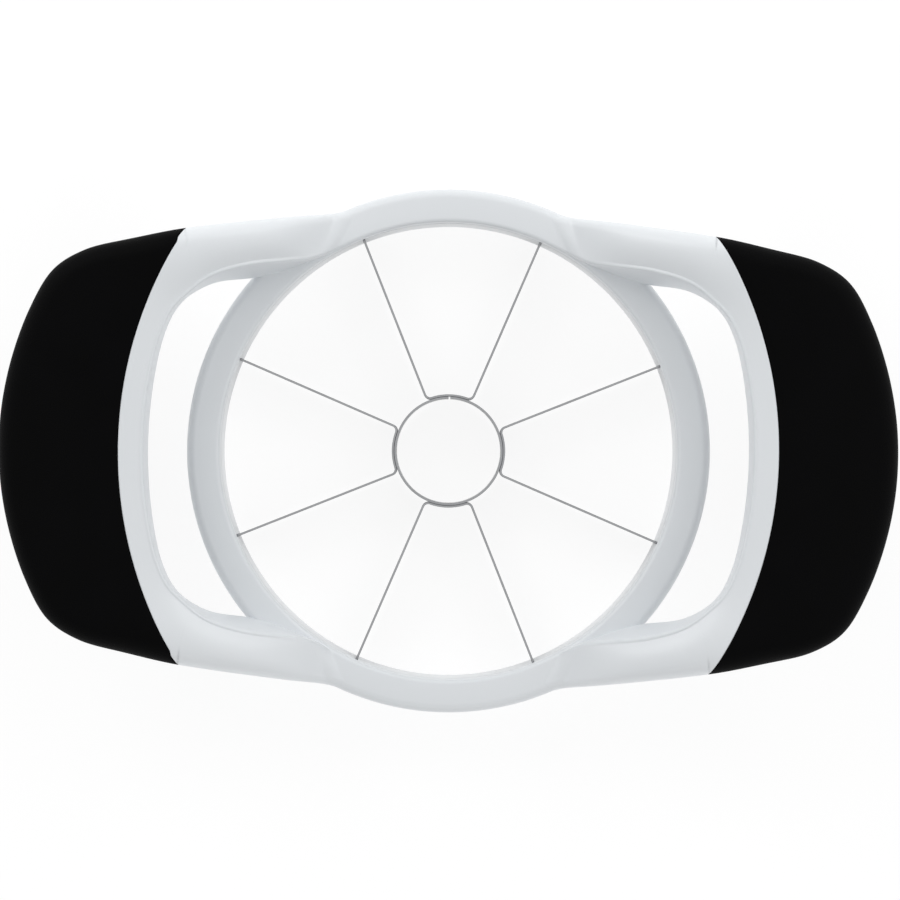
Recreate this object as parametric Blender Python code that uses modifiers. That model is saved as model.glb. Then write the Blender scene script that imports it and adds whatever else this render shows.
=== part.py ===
"""Hand-held apple slicer and corer.

A white moulded ring with two raised loop handles is pushed down over an apple. A steel core ring
and four bent steel strips, whose ends are the eight spokes, cut it into wedges. The strips' hooked
ends are trapped by a second ring, which is pressed up into a channel under the first one. Soft black
grips are moulded over a tongue on the outer half of each handle.

X runs from handle to handle, Y across, Z up. The origin is on the axis of the ring, on its flat
underside. All lengths are in metres.
"""

from math import asin, atan2, cos, pi, radians, sin, sqrt, tan

import bmesh
import bpy
from mathutils import Vector

# Ring
RING_OUTER_RADIUS = 0.0600
RING_WIDTH = 0.0076
RING_HEIGHT = 0.0150
RING_OUTER_WALL = 0.0030
RING_TOP_WALL = 0.0036
RING_OUTER_EDGE_RADIUS = 0.0013
RING_INNER_EDGE_RADIUS = 0.0010
RING_FOOT_CHAMFER = 0.0005

# Retaining ring under the frame's top wall
RETAINER_LEDGE = 0.0001
RETAINER_FIT = 0.0003
RETAINER_CHAMFER = 0.0004

# Cutting steel
CORE_OUTER_RADIUS = 0.0125
CORE_STOCK = 0.0004
CORE_STANDS_OVER_STRIPS = 0.0004
CORE_SEAM = 0.0004
STRIP_STOCK = 0.0004
STRIP_TOP_CLEARANCE = 0.0006
EDGE_ABOVE_TABLE = 0.0008
GROUND_EDGE_HEIGHT = 0.0014
WELD_CLEARANCE = 0.0001
SPOKE_COUNT = 8
SPOKE_OFFSET = 0.0003
SPOKE_BEND_RADIUS = 0.0013
HOOK_BEND_RADIUS = 0.0008
HOOK_LENGTH = 0.0026
HOOK_COVER = 0.00045
TAB_NOTCH_HEIGHT = 0.0022
SLOT_CLEARANCE = 0.0003
GROUND_EDGE_SHARE = 0.1

# Loop handles
FINGER_GAP = 0.0080
BAR_WIDTH = 0.0055
GRIP_WIDTH = 0.0280
HANDLE_TAPER = 0.0110
PARTING_DEPTH = 0.0145
HANDLE_RISE = 0.0205
HANDLE_DROP = 0.0040
ARM_CREASE_SETBACK = 0.0015
ARM_FOOT_HEIGHT = 0.0015
BAR_THICKNESS = 0.0140
ARM_CROWN = 0.0008
GRIP_CROWN = 0.0016
WALL_LEAN = 0.0020
RIM_RADIUS = 0.0008
RIM_WIDTH = 0.0018
RIM_HEIGHT = 0.0004
BASE_EDGE_RADIUS = 0.0009
ARM_EDGE_RADIUS = 0.0024
GRIP_EDGE_RADIUS = 0.0046
GRIP_TUCK = 0.0012
EDGE_LIMIT_SHARE = 0.46

# Moulded detail of the handles
CORING_WALL = 0.0024
CORING_TOP_WALL = 0.0030
CORING_EDGE_RADIUS = 0.0006
GRIP_SKIN = 0.0026
GRIP_PARTING_GAP = 0.0003
TONGUE_FIT = 0.0003
TONGUE_INSET = 0.0026
TONGUE_EDGE_RADIUS = 0.0018
TONGUE_END_MARGIN = 0.0093
TONGUE_HOLE_RADIUS = 0.0030
TONGUE_HOLE_SETBACK = 0.0118
TONGUE_HOLE_SPACING = 0.0240

# One overrun serves every cut, and one distance every merge
OVERRUN = 0.0010
MERGE_DISTANCE = 0.00001

# Facets
RING_STEPS = 96
CORE_STEPS = 64
PARTING_STEPS = 112
HOLE_STEPS = 16
STEPS_PER_SPAN = 2
TONGUE_STEPS_PER_SPAN = 1
EDGE_STEPS = 3
CROWN_SHARES = (0.25, 0.5, 0.75)
SHARP_ANGLE = radians(35)

# The arm's first section, inside the ring: its inner and outer point, as angles round the ring
# and shares of the ring's outer radius
ROOT_INNER_ANGLE = radians(61.8)
ROOT_OUTER_ANGLE = radians(70.4)
ROOT_INNER_SHARE = 0.8815
ROOT_OUTER_SHARE = 0.9942

# Edge of the finger hole, from the arm's root to the middle of the bar: share of the way out to the
# bar, share of the root's distance from the X axis, and share of the wall's lean
HOLE_EDGE_SHARES = (
    (0.000, 1.000, 0.30),
    (0.138, 0.929, 0.35),
    (0.300, 0.878, 0.65),
    (0.484, 0.824, 1.00),
    (0.657, 0.794, 0.55),
    (0.788, 0.742, 0.30),
    (0.866, 0.665, 0.30),
    (0.917, 0.564, 0.30),
    (0.949, 0.457, 0.30),
    (0.972, 0.339, 0.30),
    (0.988, 0.221, 0.30),
    (0.997, 0.107, 0.30),
    (1.000, 0.000, 0.30),
)

# Outer edge of the arm, from its root to the corner of the grip: shares of the way along X and Y
ARM_EDGE_SHARES = (
    (0.000, 0.000),
    (0.185, 0.306),
    (0.384, 0.472),
    (0.628, 0.681),
    (0.872, 0.889),
)

# Outer edge of the grip, from its corner to the middle: share of the way out along X, and share of
# the corner's distance from the X axis
GRIP_EDGE_SHARES = (
    (0.1180, 0.982),
    (0.3385, 0.946),
    (0.5530, 0.895),
    (0.7240, 0.798),
    (0.8440, 0.620),
    (0.9330, 0.408),
    (0.9845, 0.198),
    (1.0000, 0.000),
)

# Where each underside pocket of the back arm starts and ends, with a rib between the two pockets:
# shares of the whole way round the handle
CORING_SHARES = ((0.115, 0.144), (0.152, 0.181))

# Derived sizes
OPENING_RADIUS = RING_OUTER_RADIUS - RING_WIDTH
CHANNEL_RADIUS = RING_OUTER_RADIUS - RING_OUTER_WALL
CHANNEL_HEIGHT = RING_HEIGHT - RING_TOP_WALL
RETAINER_INNER_RADIUS = OPENING_RADIUS - RETAINER_LEDGE
RETAINER_OUTER_RADIUS = CHANNEL_RADIUS - RETAINER_FIT
RETAINER_HEIGHT = CHANNEL_HEIGHT - RETAINER_FIT
STRIP_TOP = RETAINER_HEIGHT - STRIP_TOP_CLEARANCE
STRIP_ARC_RADIUS = CORE_OUTER_RADIUS + WELD_CLEARANCE + STRIP_STOCK / 2
SPOKE_ANGLE = pi / SPOKE_COUNT
STRIP_TURN = 4 * SPOKE_ANGLE
HOOK_REACH = RETAINER_OUTER_RADIUS - HOOK_COVER - STRIP_STOCK / 2
TAB_BOTTOM = EDGE_ABOVE_TABLE + TAB_NOTCH_HEIGHT
HOLE_REACH = RING_OUTER_RADIUS + FINGER_GAP
PARTING_REACH = HOLE_REACH + BAR_WIDTH
HANDLE_REACH = PARTING_REACH + GRIP_WIDTH
CORNER_X = PARTING_REACH - PARTING_DEPTH
CORNER_Y = RING_OUTER_RADIUS - HANDLE_TAPER
PARTING_RADIUS = (CORNER_Y**2 + PARTING_DEPTH**2) / (2 * PARTING_DEPTH)
PARTING_CENTRE_X = PARTING_REACH - PARTING_RADIUS
ROOT_INNER_REACH = RING_OUTER_RADIUS * ROOT_INNER_SHARE
ROOT_OUTER_REACH = RING_OUTER_RADIUS * ROOT_OUTER_SHARE
ROOT_INNER = Vector((cos(ROOT_INNER_ANGLE), sin(ROOT_INNER_ANGLE))) * ROOT_INNER_REACH
ROOT_OUTER = Vector((cos(ROOT_OUTER_ANGLE), sin(ROOT_OUTER_ANGLE))) * ROOT_OUTER_REACH
CREASE_X = ROOT_INNER.x + ARM_CREASE_SETBACK
TONGUE_HALF_SPAN = CORNER_Y - TONGUE_END_MARGIN


def clear_scene():
    """Starts from an empty scene."""
    for thing in list(bpy.data.objects):
        bpy.data.objects.remove(thing, do_unlink=True)


def new_collection(name):
    """A collection linked to the scene."""
    collection = bpy.data.collections.new(name)
    bpy.context.scene.collection.children.link(collection)
    return collection


def principled(name, colour, roughness, metallic=0):
    """A plain material with the colour, roughness and metallic value of one finish."""
    material = bpy.data.materials.new(name)
    material.use_nodes = True
    shader = material.node_tree.nodes["Principled BSDF"]
    shader.inputs["Base Color"].default_value = (*colour, 1)
    shader.inputs["Roughness"].default_value = roughness
    shader.inputs["Metallic"].default_value = metallic
    return material


def place(name, mesh, collection, material=None):
    """Puts a mesh into a collection as one object. Round faces are shaded smooth."""
    mesh.shade_smooth()
    mesh.set_sharp_from_angle(angle=SHARP_ANGLE)
    thing = bpy.data.objects.new(name, mesh)
    collection.objects.link(thing)
    if material is None:
        thing.hide_render = True
        thing.display_type = "WIRE"
    else:
        mesh.materials.append(material)
    return thing


def boolean(thing, operation, tool):
    """Cuts, joins or keeps a thing by another closed solid."""
    modifier = thing.modifiers.new(operation.title() + " " + tool.name, "BOOLEAN")
    modifier.operation = operation
    modifier.object = tool
    modifier.solver = "EXACT"
    return modifier


def turned(name, profile, steps, collection, material=None):
    """Solid turned from a closed (radius, height) profile that runs down its outer side."""
    mesh = bpy.data.meshes.new(name)
    corners = [(radius, 0, height) for radius, height in profile]
    edges = [(index, (index + 1) % len(corners)) for index in range(len(corners))]
    mesh.from_pydata(corners, edges, [])
    thing = place(name, mesh, collection, material)
    screw = thing.modifiers.new("Turn", "SCREW")
    screw.axis = "Z"
    screw.angle = 2 * pi
    screw.steps = steps
    screw.render_steps = steps
    screw.use_smooth_shade = True
    screw.use_merge_vertices = True
    screw.merge_threshold = MERGE_DISTANCE
    return thing


def prism(name, outlines, bottom, top, collection):
    """Cutter made of flat closed outlines, extruded from one height to another."""
    curve = bpy.data.curves.new(name, "CURVE")
    curve.dimensions = "2D"
    curve.fill_mode = "BOTH"
    curve.extrude = (top - bottom) / 2
    for outline in outlines:
        spline = curve.splines.new("POLY")
        spline.points.add(len(outline) - 1)
        for point, (x, y) in zip(spline.points, outline):
            point.co = (x, y, 0, 1)
        spline.use_cyclic_u = True
    drawn = bpy.data.objects.new(name, curve)
    collection.objects.link(drawn)
    drawn.location.z = (top + bottom) / 2
    bpy.context.view_layer.update()
    evaluated = drawn.evaluated_get(bpy.context.evaluated_depsgraph_get())
    mesh = bpy.data.meshes.new_from_object(evaluated)
    matrix = drawn.matrix_world.copy()
    bpy.data.objects.remove(drawn, do_unlink=True)
    weld = bmesh.new()
    weld.from_mesh(mesh)
    bmesh.ops.remove_doubles(weld, verts=weld.verts, dist=MERGE_DISTANCE)
    bmesh.ops.recalc_face_normals(weld, faces=weld.faces)
    weld.to_mesh(mesh)
    weld.free()
    thing = place(name, mesh, collection)
    thing.matrix_world = matrix
    return thing


def cylinder(name, centre, radius, bottom, top, steps, collection):
    """Upright round cutter between two heights."""
    mesh = bpy.data.meshes.new(name)
    shape = bmesh.new()
    bmesh.ops.create_cone(
        shape,
        cap_ends=True,
        segments=steps,
        radius1=radius,
        radius2=radius,
        depth=top - bottom,
    )
    shape.to_mesh(mesh)
    shape.free()
    thing = place(name, mesh, collection)
    thing.location = (centre[0], centre[1], (top + bottom) / 2)
    return thing


def block(name, low, high, collection):
    """Box cutter between two corners."""
    mesh = bpy.data.meshes.new(name)
    shape = bmesh.new()
    bmesh.ops.create_cube(shape, size=1)
    size = Vector(high) - Vector(low)
    bmesh.ops.scale(shape, vec=size, verts=shape.verts)
    shape.to_mesh(mesh)
    shape.free()
    thing = place(name, mesh, collection)
    thing.location = (Vector(high) + Vector(low)) / 2
    return thing


def loft(name, sections, collection, material=None):
    """Closed solid whose skin runs through section loops with the same number of points."""
    mesh = bpy.data.meshes.new(name)
    skin = bmesh.new()
    loops = [[skin.verts.new(point) for point in section] for section in sections]
    for near, far in zip(loops, loops[1:]):
        for index in range(len(near)):
            following = (index + 1) % len(near)
            skin.faces.new((near[index], near[following], far[following], far[index]))
    skin.faces.new(loops[0])
    skin.faces.new(reversed(loops[-1]))
    bmesh.ops.recalc_face_normals(skin, faces=skin.faces)
    bmesh.ops.triangulate(skin, faces=skin.faces)
    skin.to_mesh(mesh)
    skin.free()
    return place(name, mesh, collection, material)


def arc(centre, radius, start, end, steps):
    """Points from one angle to another round a centre, both ends included."""
    angles = [start + (end - start) * step / steps for step in range(steps + 1)]
    return [Vector((centre[0] + radius * cos(a), centre[1] + radius * sin(a))) for a in angles]


def fillet(before, corner, after, radius, steps):
    """Arc of a given radius that rounds the corner between two neighbouring points."""
    to_before = (Vector(before) - Vector(corner)).normalized()
    to_after = (Vector(after) - Vector(corner)).normalized()
    half = to_before.angle(to_after) / 2
    centre = Vector(corner) + (to_before + to_after).normalized() * radius / sin(half)
    first = Vector(corner) + to_before * radius / tan(half) - centre
    last = Vector(corner) + to_after * radius / tan(half) - centre
    start = atan2(first.y, first.x)
    turn = (atan2(last.y, last.x) - start + pi) % (2 * pi) - pi
    return arc(centre, radius, start, start + turn, steps)


def curve_through(points, position):
    """Place on a smooth curve through the points, at a position counted in spans."""
    span = min(max(int(position), 0), len(points) - 2)
    t = position - span
    before = points[span - 1] if span else 2 * points[0] - points[1]
    start = points[span]
    end = points[span + 1]
    after = points[span + 2] if span + 2 < len(points) else 2 * end - start
    pull = (end - before) / 2
    leave = (after - start) / 2
    return (
        start * (2 * t**3 - 3 * t**2 + 1)
        + pull * (t**3 - 2 * t**2 + t)
        + end * (3 * t**2 - 2 * t**3)
        + leave * (t**3 - t**2)
    )


def handle_outline():
    """Matched points (inner x, y, outer x, y, lean) along the right handle, from the back arm's root,
    round the grip, to the front arm's root."""
    inner = []
    for way, side, lean in HOLE_EDGE_SHARES:
        x = ROOT_INNER.x + (HOLE_REACH - ROOT_INNER.x) * way
        inner.append((x, ROOT_INNER.y * side, WALL_LEAN * lean))
    outer = []
    for way, side in ARM_EDGE_SHARES:
        x = ROOT_OUTER.x + (CORNER_X - ROOT_OUTER.x) * way
        outer.append((x, ROOT_OUTER.y + (CORNER_Y - ROOT_OUTER.y) * side))
    for way, side in GRIP_EDGE_SHARES:
        outer.append((CORNER_X + (HANDLE_REACH - CORNER_X) * way, CORNER_Y * side))
    back = [
        Vector((ix, iy, ox, oy, lean)) for (ix, iy, lean), (ox, oy) in zip(inner, outer)
    ]
    front = [Vector((p[0], -p[1], p[2], -p[3], p[4])) for p in reversed(back[:-1])]
    return back + front


OUTLINE = handle_outline()
LAST_SPAN = len(OUTLINE) - 1


def rise(x):
    """Share of the handle's rise reached at a distance from the middle of the ring. It is steep at
    the crease where the arm leaves the ring, and level at the bar."""
    t = (x - CREASE_X) / (PARTING_REACH - CREASE_X)
    if t < 0:
        return 2 * t
    return 1 - (1 - min(t, 1)) ** 2


def top_height(x):
    """Height of the handle's top at a distance from the middle of the ring."""
    beyond = max((x - PARTING_REACH) / GRIP_WIDTH, 0)
    return RING_HEIGHT + HANDLE_RISE * rise(x) - HANDLE_DROP * beyond**2


def base_height(x):
    """Height of the handle's underside: the arm starts nearly as deep as the ring and has the
    bar's thickness at the bar."""
    risen = max(rise(x), 0)
    arm_depth = RING_HEIGHT - ARM_FOOT_HEIGHT
    depth = arm_depth + (BAR_THICKNESS - arm_depth) * risen
    return RING_HEIGHT + HANDLE_RISE * risen - depth


def bar_share(x):
    """How much of the grip's rounder section a place takes: none on the arm, all at the bar."""
    t = min(max((x - CORNER_X) / (PARTING_REACH - CORNER_X), 0), 1)
    return t * t * (3 - 2 * t)


def section_at(position):
    """Inner point, outward direction, width, lean and outer distance of the handle at a station."""
    ix, iy, ox, oy, lean = curve_through(OUTLINE, position)
    inner = Vector((ix, iy))
    across = Vector((ox, oy)) - inner
    return inner, across.normalized(), across.length, lean, ox


def stand_up(points, inner, across):
    """Turns (distance across, height) points of a section into places in space."""
    return [(inner.x + across.x * s, inner.y + across.y * s, z) for s, z in points]


def handle_section(position):
    """Loop round the whole handle at a station: leaning inner wall, raised rim, crowned top,
    rounded outer edge and flat underside."""
    inner, across, width, lean, reach = section_at(position)
    round_share = bar_share(reach)
    edge = ARM_EDGE_RADIUS + (GRIP_EDGE_RADIUS - ARM_EDGE_RADIUS) * round_share
    edge = min(edge, EDGE_LIMIT_SHARE * (top_height(reach) - base_height(reach)))
    crown = ARM_CROWN + (GRIP_CROWN - ARM_CROWN) * round_share
    inner_base = (0, base_height(inner.x))
    rim = (lean, top_height(inner.x + across.x * lean))
    outer_top = (width, top_height(reach))
    outer_base = (width - GRIP_TUCK * round_share, base_height(reach))
    valley = Vector((lean + RIM_WIDTH, rim[1] - RIM_HEIGHT))
    loop = fillet(outer_base, inner_base, rim, BASE_EDGE_RADIUS, EDGE_STEPS - 1)
    loop += fillet(inner_base, rim, valley, RIM_RADIUS, EDGE_STEPS)
    loop.append(valley)
    edge_top = fillet(valley, outer_top, outer_base, edge, EDGE_STEPS + 1)
    for share in CROWN_SHARES:
        place_on_top = valley.lerp(edge_top[0], share)
        place_on_top.y += 4 * crown * share * (1 - share)
        loop.append(place_on_top)
    loop += edge_top
    loop += fillet(outer_top, outer_base, inner_base, edge, EDGE_STEPS + 1)
    return stand_up(loop, inner, across)


def coring_section(position):
    """Loop of the pocket that cores an arm from below, walls left on both sides and on top."""
    inner, across, width, lean, reach = section_at(position)
    low = min(base_height(inner.x), base_height(reach)) - OVERRUN
    inner_top = (lean + CORING_WALL, top_height(inner.x) - CORING_TOP_WALL)
    outer_top = (width - CORING_WALL, top_height(reach) - CORING_TOP_WALL)
    inner_base = (CORING_WALL, low)
    outer_base = (width - CORING_WALL, low)
    loop = [Vector(inner_base)]
    loop += fillet(inner_base, inner_top, outer_top, CORING_EDGE_RADIUS, EDGE_STEPS - 1)
    loop += fillet(inner_top, outer_top, outer_base, CORING_EDGE_RADIUS, EDGE_STEPS - 1)
    loop.append(Vector(outer_base))
    return stand_up(loop, inner, across)


def tongue_section(position, grow):
    """Loop of the tongue inside the grip, grown all round for the space that the grip leaves."""
    inner, across, width, lean, reach = section_at(position)
    skin = GRIP_SKIN - grow
    start = lean + TONGUE_INSET
    end = width - skin
    inner_x = inner.x + across.x * start
    corners = (
        (start, base_height(inner_x) + skin),
        (start, top_height(inner_x) - skin),
        (end, top_height(reach) - skin),
        (end, base_height(reach) + skin),
    )
    loop = [Vector(corners[0]), Vector(corners[1])]
    loop += fillet(corners[1], corners[2], corners[3], TONGUE_EDGE_RADIUS, EDGE_STEPS)
    loop += fillet(corners[2], corners[3], corners[0], TONGUE_EDGE_RADIUS, EDGE_STEPS)
    return stand_up(loop, inner, across)


def stations(first, last, steps_per_span=STEPS_PER_SPAN):
    """Even stations between two positions along the handle, which are counted in spans."""
    count = max(round((last - first) * steps_per_span), 2)
    return [first + (last - first) * step / count for step in range(count + 1)]


def parting_x(y):
    """Distance of the line between the bar and the grip from the middle of the ring."""
    return PARTING_CENTRE_X + sqrt(PARTING_RADIUS**2 - y**2)


def tongue(name, grow, hole_radius, cutters, parent):
    """Tongue that carries the grip, cut straight at both ends and pierced by interlocking holes."""
    first = len(ARM_EDGE_SHARES)
    places = stations(first, LAST_SPAN - first, TONGUE_STEPS_PER_SPAN)
    whole = loft(name, [tongue_section(p, grow) for p in places], cutters)
    whole.parent = parent
    half = TONGUE_HALF_SPAN + grow
    top = RING_HEIGHT + HANDLE_RISE + OVERRUN
    trim = block(
        name + "_trim", (CORNER_X - PARTING_DEPTH, -half, 0), (HANDLE_REACH, half, top), cutters
    )
    trim.parent = parent
    boolean(whole, "INTERSECT", trim)
    for index in (-1, 0, 1):
        y = index * TONGUE_HOLE_SPACING
        centre = (parting_x(y) + TONGUE_HOLE_SETBACK, y)
        hole = cylinder(
            name + "_hole_" + str(index + 1), centre, hole_radius, 0, top, HOLE_STEPS, cutters
        )
        hole.parent = parent
        boolean(whole, "DIFFERENCE", hole)
    return whole


def handle(side, angle, parts, cutters, grip_material):
    """One raised loop handle: returns its white solid, to be joined to the ring, and its grip."""
    turn = bpy.data.objects.new(side + "_handle_turn", None)
    parts.objects.link(turn)
    turn.rotation_euler.z = angle
    sections = [handle_section(p) for p in stations(0, LAST_SPAN)]
    top = RING_HEIGHT + HANDLE_RISE + GRIP_CROWN + OVERRUN
    partings = []
    for label, radius in (
        ("grip", PARTING_RADIUS),
        ("frame", PARTING_RADIUS - GRIP_PARTING_GAP),
    ):
        parting = cylinder(
            side + "_" + label + "_parting",
            (PARTING_CENTRE_X, 0),
            radius,
            -OVERRUN,
            top,
            PARTING_STEPS,
            cutters,
        )
        parting.parent = turn
        partings.append(parting)

    grip = loft(side + "_grip", sections, parts, grip_material)
    grip.parent = turn
    boolean(grip, "DIFFERENCE", partings[0])
    cavity = tongue(
        side + "_grip_cavity", TONGUE_FIT, TONGUE_HOLE_RADIUS - TONGUE_FIT, cutters, turn
    )
    boolean(grip, "DIFFERENCE", cavity)

    white = loft(side + "_handle_white", sections, cutters)
    white.parent = turn
    boolean(white, "INTERSECT", partings[1])
    front_shares = tuple((1 - last, 1 - first) for first, last in CORING_SHARES)
    for index, (first, last) in enumerate(CORING_SHARES + front_shares):
        pocket = loft(
            side + "_coring_" + str(index),
            [coring_section(p) for p in stations(first * LAST_SPAN, last * LAST_SPAN)],
            cutters,
        )
        pocket.parent = turn
        boolean(white, "DIFFERENCE", pocket)
    boolean(white, "UNION", tongue(side + "_tongue", 0, TONGUE_HOLE_RADIUS, cutters, turn))
    return white


def frame(parts, cutters, white_material, grip_material):
    """Ring with a channel under its top wall, joined to both loop handles."""
    chamfer = RING_FOOT_CHAMFER
    outer_top = (RING_OUTER_RADIUS, RING_HEIGHT)
    inner_top = (OPENING_RADIUS, RING_HEIGHT)
    outer_foot = (RING_OUTER_RADIUS, 0)
    inner_foot = (OPENING_RADIUS, 0)
    profile = [Vector(inner_foot)]
    profile += fillet(inner_foot, inner_top, outer_top, RING_INNER_EDGE_RADIUS, EDGE_STEPS)
    profile += fillet(inner_top, outer_top, outer_foot, RING_OUTER_EDGE_RADIUS, EDGE_STEPS + 1)
    profile.append(Vector((RING_OUTER_RADIUS, chamfer)))
    profile.append(Vector((RING_OUTER_RADIUS - chamfer, 0)))
    ring = turned("frame", profile, RING_STEPS, parts, white_material)
    for side, angle in (("right", 0), ("left", pi)):
        boolean(ring, "UNION", handle(side, angle, parts, cutters, grip_material))
    channel_profile = (
        (OPENING_RADIUS - OVERRUN, -OVERRUN),
        (OPENING_RADIUS - OVERRUN, CHANNEL_HEIGHT),
        (CHANNEL_RADIUS, CHANNEL_HEIGHT),
        (CHANNEL_RADIUS, -OVERRUN),
    )
    boolean(ring, "DIFFERENCE", turned("channel", channel_profile, RING_STEPS, cutters))
    return ring


def strip_outline():
    """Plan path of one bent strip: hook, spoke, bend, arc round the core ring, bend, spoke, hook.
    Each spoke runs beside its ray from the middle, offset away from the strip's own axis."""
    ray = Vector((cos(SPOKE_ANGLE), sin(SPOKE_ANGLE)))
    away = Vector((-ray.y, ray.x))
    bend_reach = STRIP_ARC_RADIUS + SPOKE_BEND_RADIUS
    bend_angle = SPOKE_ANGLE - asin((SPOKE_BEND_RADIUS - SPOKE_OFFSET) / bend_reach)
    bend_centre = Vector((cos(bend_angle), sin(bend_angle))) * bend_reach
    hook_centre = ray * (HOOK_REACH - HOOK_BEND_RADIUS) + away * (SPOKE_OFFSET - HOOK_BEND_RADIUS)
    hook_end = hook_centre + ray * HOOK_BEND_RADIUS - away * HOOK_LENGTH
    half = [hook_end]
    half += arc(hook_centre, HOOK_BEND_RADIUS, SPOKE_ANGLE, SPOKE_ANGLE + pi / 2, EDGE_STEPS + 1)
    half += arc(
        bend_centre, SPOKE_BEND_RADIUS, SPOKE_ANGLE + pi / 2, bend_angle + pi, 2 * EDGE_STEPS
    )
    half += arc((0, 0), STRIP_ARC_RADIUS, bend_angle, 0, EDGE_STEPS + 1)[1:]
    return half + [Vector((p.x, -p.y)) for p in reversed(half[:-1])]


def blade_strip(name, angle, parts, notch, material):
    """Sheet-steel strip: an upright wall along the path, thickened, its lower edge ground thin."""
    path = strip_outline()
    levels = (EDGE_ABOVE_TABLE, EDGE_ABOVE_TABLE + GROUND_EDGE_HEIGHT, STRIP_TOP)
    corners = [(p.x, p.y, level) for level in levels for p in path]
    count = len(path)
    faces = []
    for row in range(len(levels) - 1):
        for index in range(count - 1):
            low = row * count + index
            faces.append((low, low + 1, low + count + 1, low + count))
    mesh = bpy.data.meshes.new(name)
    mesh.from_pydata(corners, [], faces)
    strip = place(name, mesh, parts, material)
    full = strip.vertex_groups.new(name="Full stock")
    full.add(list(range(count, len(corners))), 1, "REPLACE")
    wall = strip.modifiers.new("Sheet", "SOLIDIFY")
    wall.thickness = STRIP_STOCK
    wall.offset = 0
    wall.use_even_offset = True
    wall.vertex_group = full.name
    wall.thickness_vertex_group = GROUND_EDGE_SHARE
    boolean(strip, "DIFFERENCE", notch)
    strip.rotation_euler.z = angle
    return strip


def core_ring(parts, cutters, material):
    """Rolled steel band with a ground lower edge and an open seam."""
    inner = CORE_OUTER_RADIUS - CORE_STOCK
    middle = CORE_OUTER_RADIUS - CORE_STOCK / 2
    thin = CORE_STOCK * GROUND_EDGE_SHARE / 2
    top = STRIP_TOP + CORE_STANDS_OVER_STRIPS
    profile = (
        (middle - thin, EDGE_ABOVE_TABLE),
        (inner, EDGE_ABOVE_TABLE + GROUND_EDGE_HEIGHT),
        (inner, top),
        (CORE_OUTER_RADIUS, top),
        (CORE_OUTER_RADIUS, EDGE_ABOVE_TABLE + GROUND_EDGE_HEIGHT),
        (middle + thin, EDGE_ABOVE_TABLE),
    )
    band = turned("core_ring", profile, CORE_STEPS, parts, material)
    seam = block(
        "core_seam",
        (-CORE_SEAM / 2, inner - OVERRUN, 0),
        (CORE_SEAM / 2, CORE_OUTER_RADIUS + OVERRUN, top + OVERRUN),
        cutters,
    )
    boolean(band, "DIFFERENCE", seam)
    return band


def hook_slots():
    """Outlines of the slots for the eight spoke ends, each a slit through the wall with a pocket
    behind it for the hook."""
    slit = STRIP_STOCK / 2 + SLOT_CLEARANCE
    hook_face = HOOK_REACH - slit
    hook_end = SPOKE_OFFSET - HOOK_BEND_RADIUS - HOOK_LENGTH - SLOT_CLEARANCE
    start = RETAINER_INNER_RADIUS - OVERRUN
    end = RETAINER_OUTER_RADIUS + OVERRUN
    shape = (
        (start, SPOKE_OFFSET - slit),
        (start, SPOKE_OFFSET + slit),
        (end, SPOKE_OFFSET + slit),
        (end, hook_end),
        (hook_face, hook_end),
        (hook_face, SPOKE_OFFSET - slit),
    )
    outlines = []
    for index in range(SPOKE_COUNT // 2):
        axis = index * STRIP_TURN
        for side in (1, -1):
            ray = Vector((cos(axis + side * SPOKE_ANGLE), sin(axis + side * SPOKE_ANGLE)))
            away = Vector((-ray.y, ray.x)) * side
            outlines.append([ray * along + away * beside for along, beside in shape])
    return outlines


def retaining_ring(parts, cutters, material):
    """Ring pressed up into the frame's channel, slotted for the hooked ends of the strips."""
    chamfer = RETAINER_CHAMFER
    profile = (
        (RETAINER_INNER_RADIUS, chamfer),
        (RETAINER_INNER_RADIUS, RETAINER_HEIGHT - chamfer),
        (RETAINER_INNER_RADIUS + chamfer, RETAINER_HEIGHT),
        (RETAINER_OUTER_RADIUS, RETAINER_HEIGHT),
        (RETAINER_OUTER_RADIUS, 0),
        (RETAINER_INNER_RADIUS + chamfer, 0),
    )
    ring = turned("retaining_ring", profile, RING_STEPS, parts, material)
    slots = prism(
        "hook_slots", hook_slots(), TAB_BOTTOM - SLOT_CLEARANCE, RETAINER_HEIGHT + OVERRUN, cutters
    )
    boolean(ring, "DIFFERENCE", slots)
    return ring


def build():
    """Models the slicer's nine pieces."""
    clear_scene()
    parts = new_collection("apple_slicer")
    cutters = new_collection("apple_slicer_cutters")
    white = principled("moulded ABS, cool white", (0.78, 0.81, 0.84), 0.32)
    natural = principled("moulded ABS, natural white", (0.80, 0.82, 0.84), 0.36)
    black = principled("overmoulded TPE, black", (0.006, 0.006, 0.006), 0.55)
    steel = principled("stainless strip", (0.56, 0.57, 0.58), 0.28, 1)
    frame(parts, cutters, white, black)
    retaining_ring(parts, cutters, natural)
    core_ring(parts, cutters, steel)
    notch_profile = (
        (RETAINER_INNER_RADIUS - SLOT_CLEARANCE, -OVERRUN),
        (RETAINER_INNER_RADIUS - SLOT_CLEARANCE, TAB_BOTTOM),
        (RING_OUTER_RADIUS, TAB_BOTTOM),
        (RING_OUTER_RADIUS, -OVERRUN),
    )
    notch = turned("tab_notch", notch_profile, RING_STEPS, cutters)
    for index, side in enumerate(("right", "back", "left", "front")):
        blade_strip("blade_strip_" + side, index * STRIP_TURN, parts, notch, steel)


build()
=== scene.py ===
"""Looks of a hand-held apple slicer and corer: a white moulded ring with two raised loop handles,
black soft grips, and a steel spider of one core ring and four bent strips.

Every new surface is worked out with numpy as a grid of points over two parameters, in metres, in the
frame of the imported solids: X from handle to handle, Y across, Z up, origin on the ring's axis at its
flat underside.
"""

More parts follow.
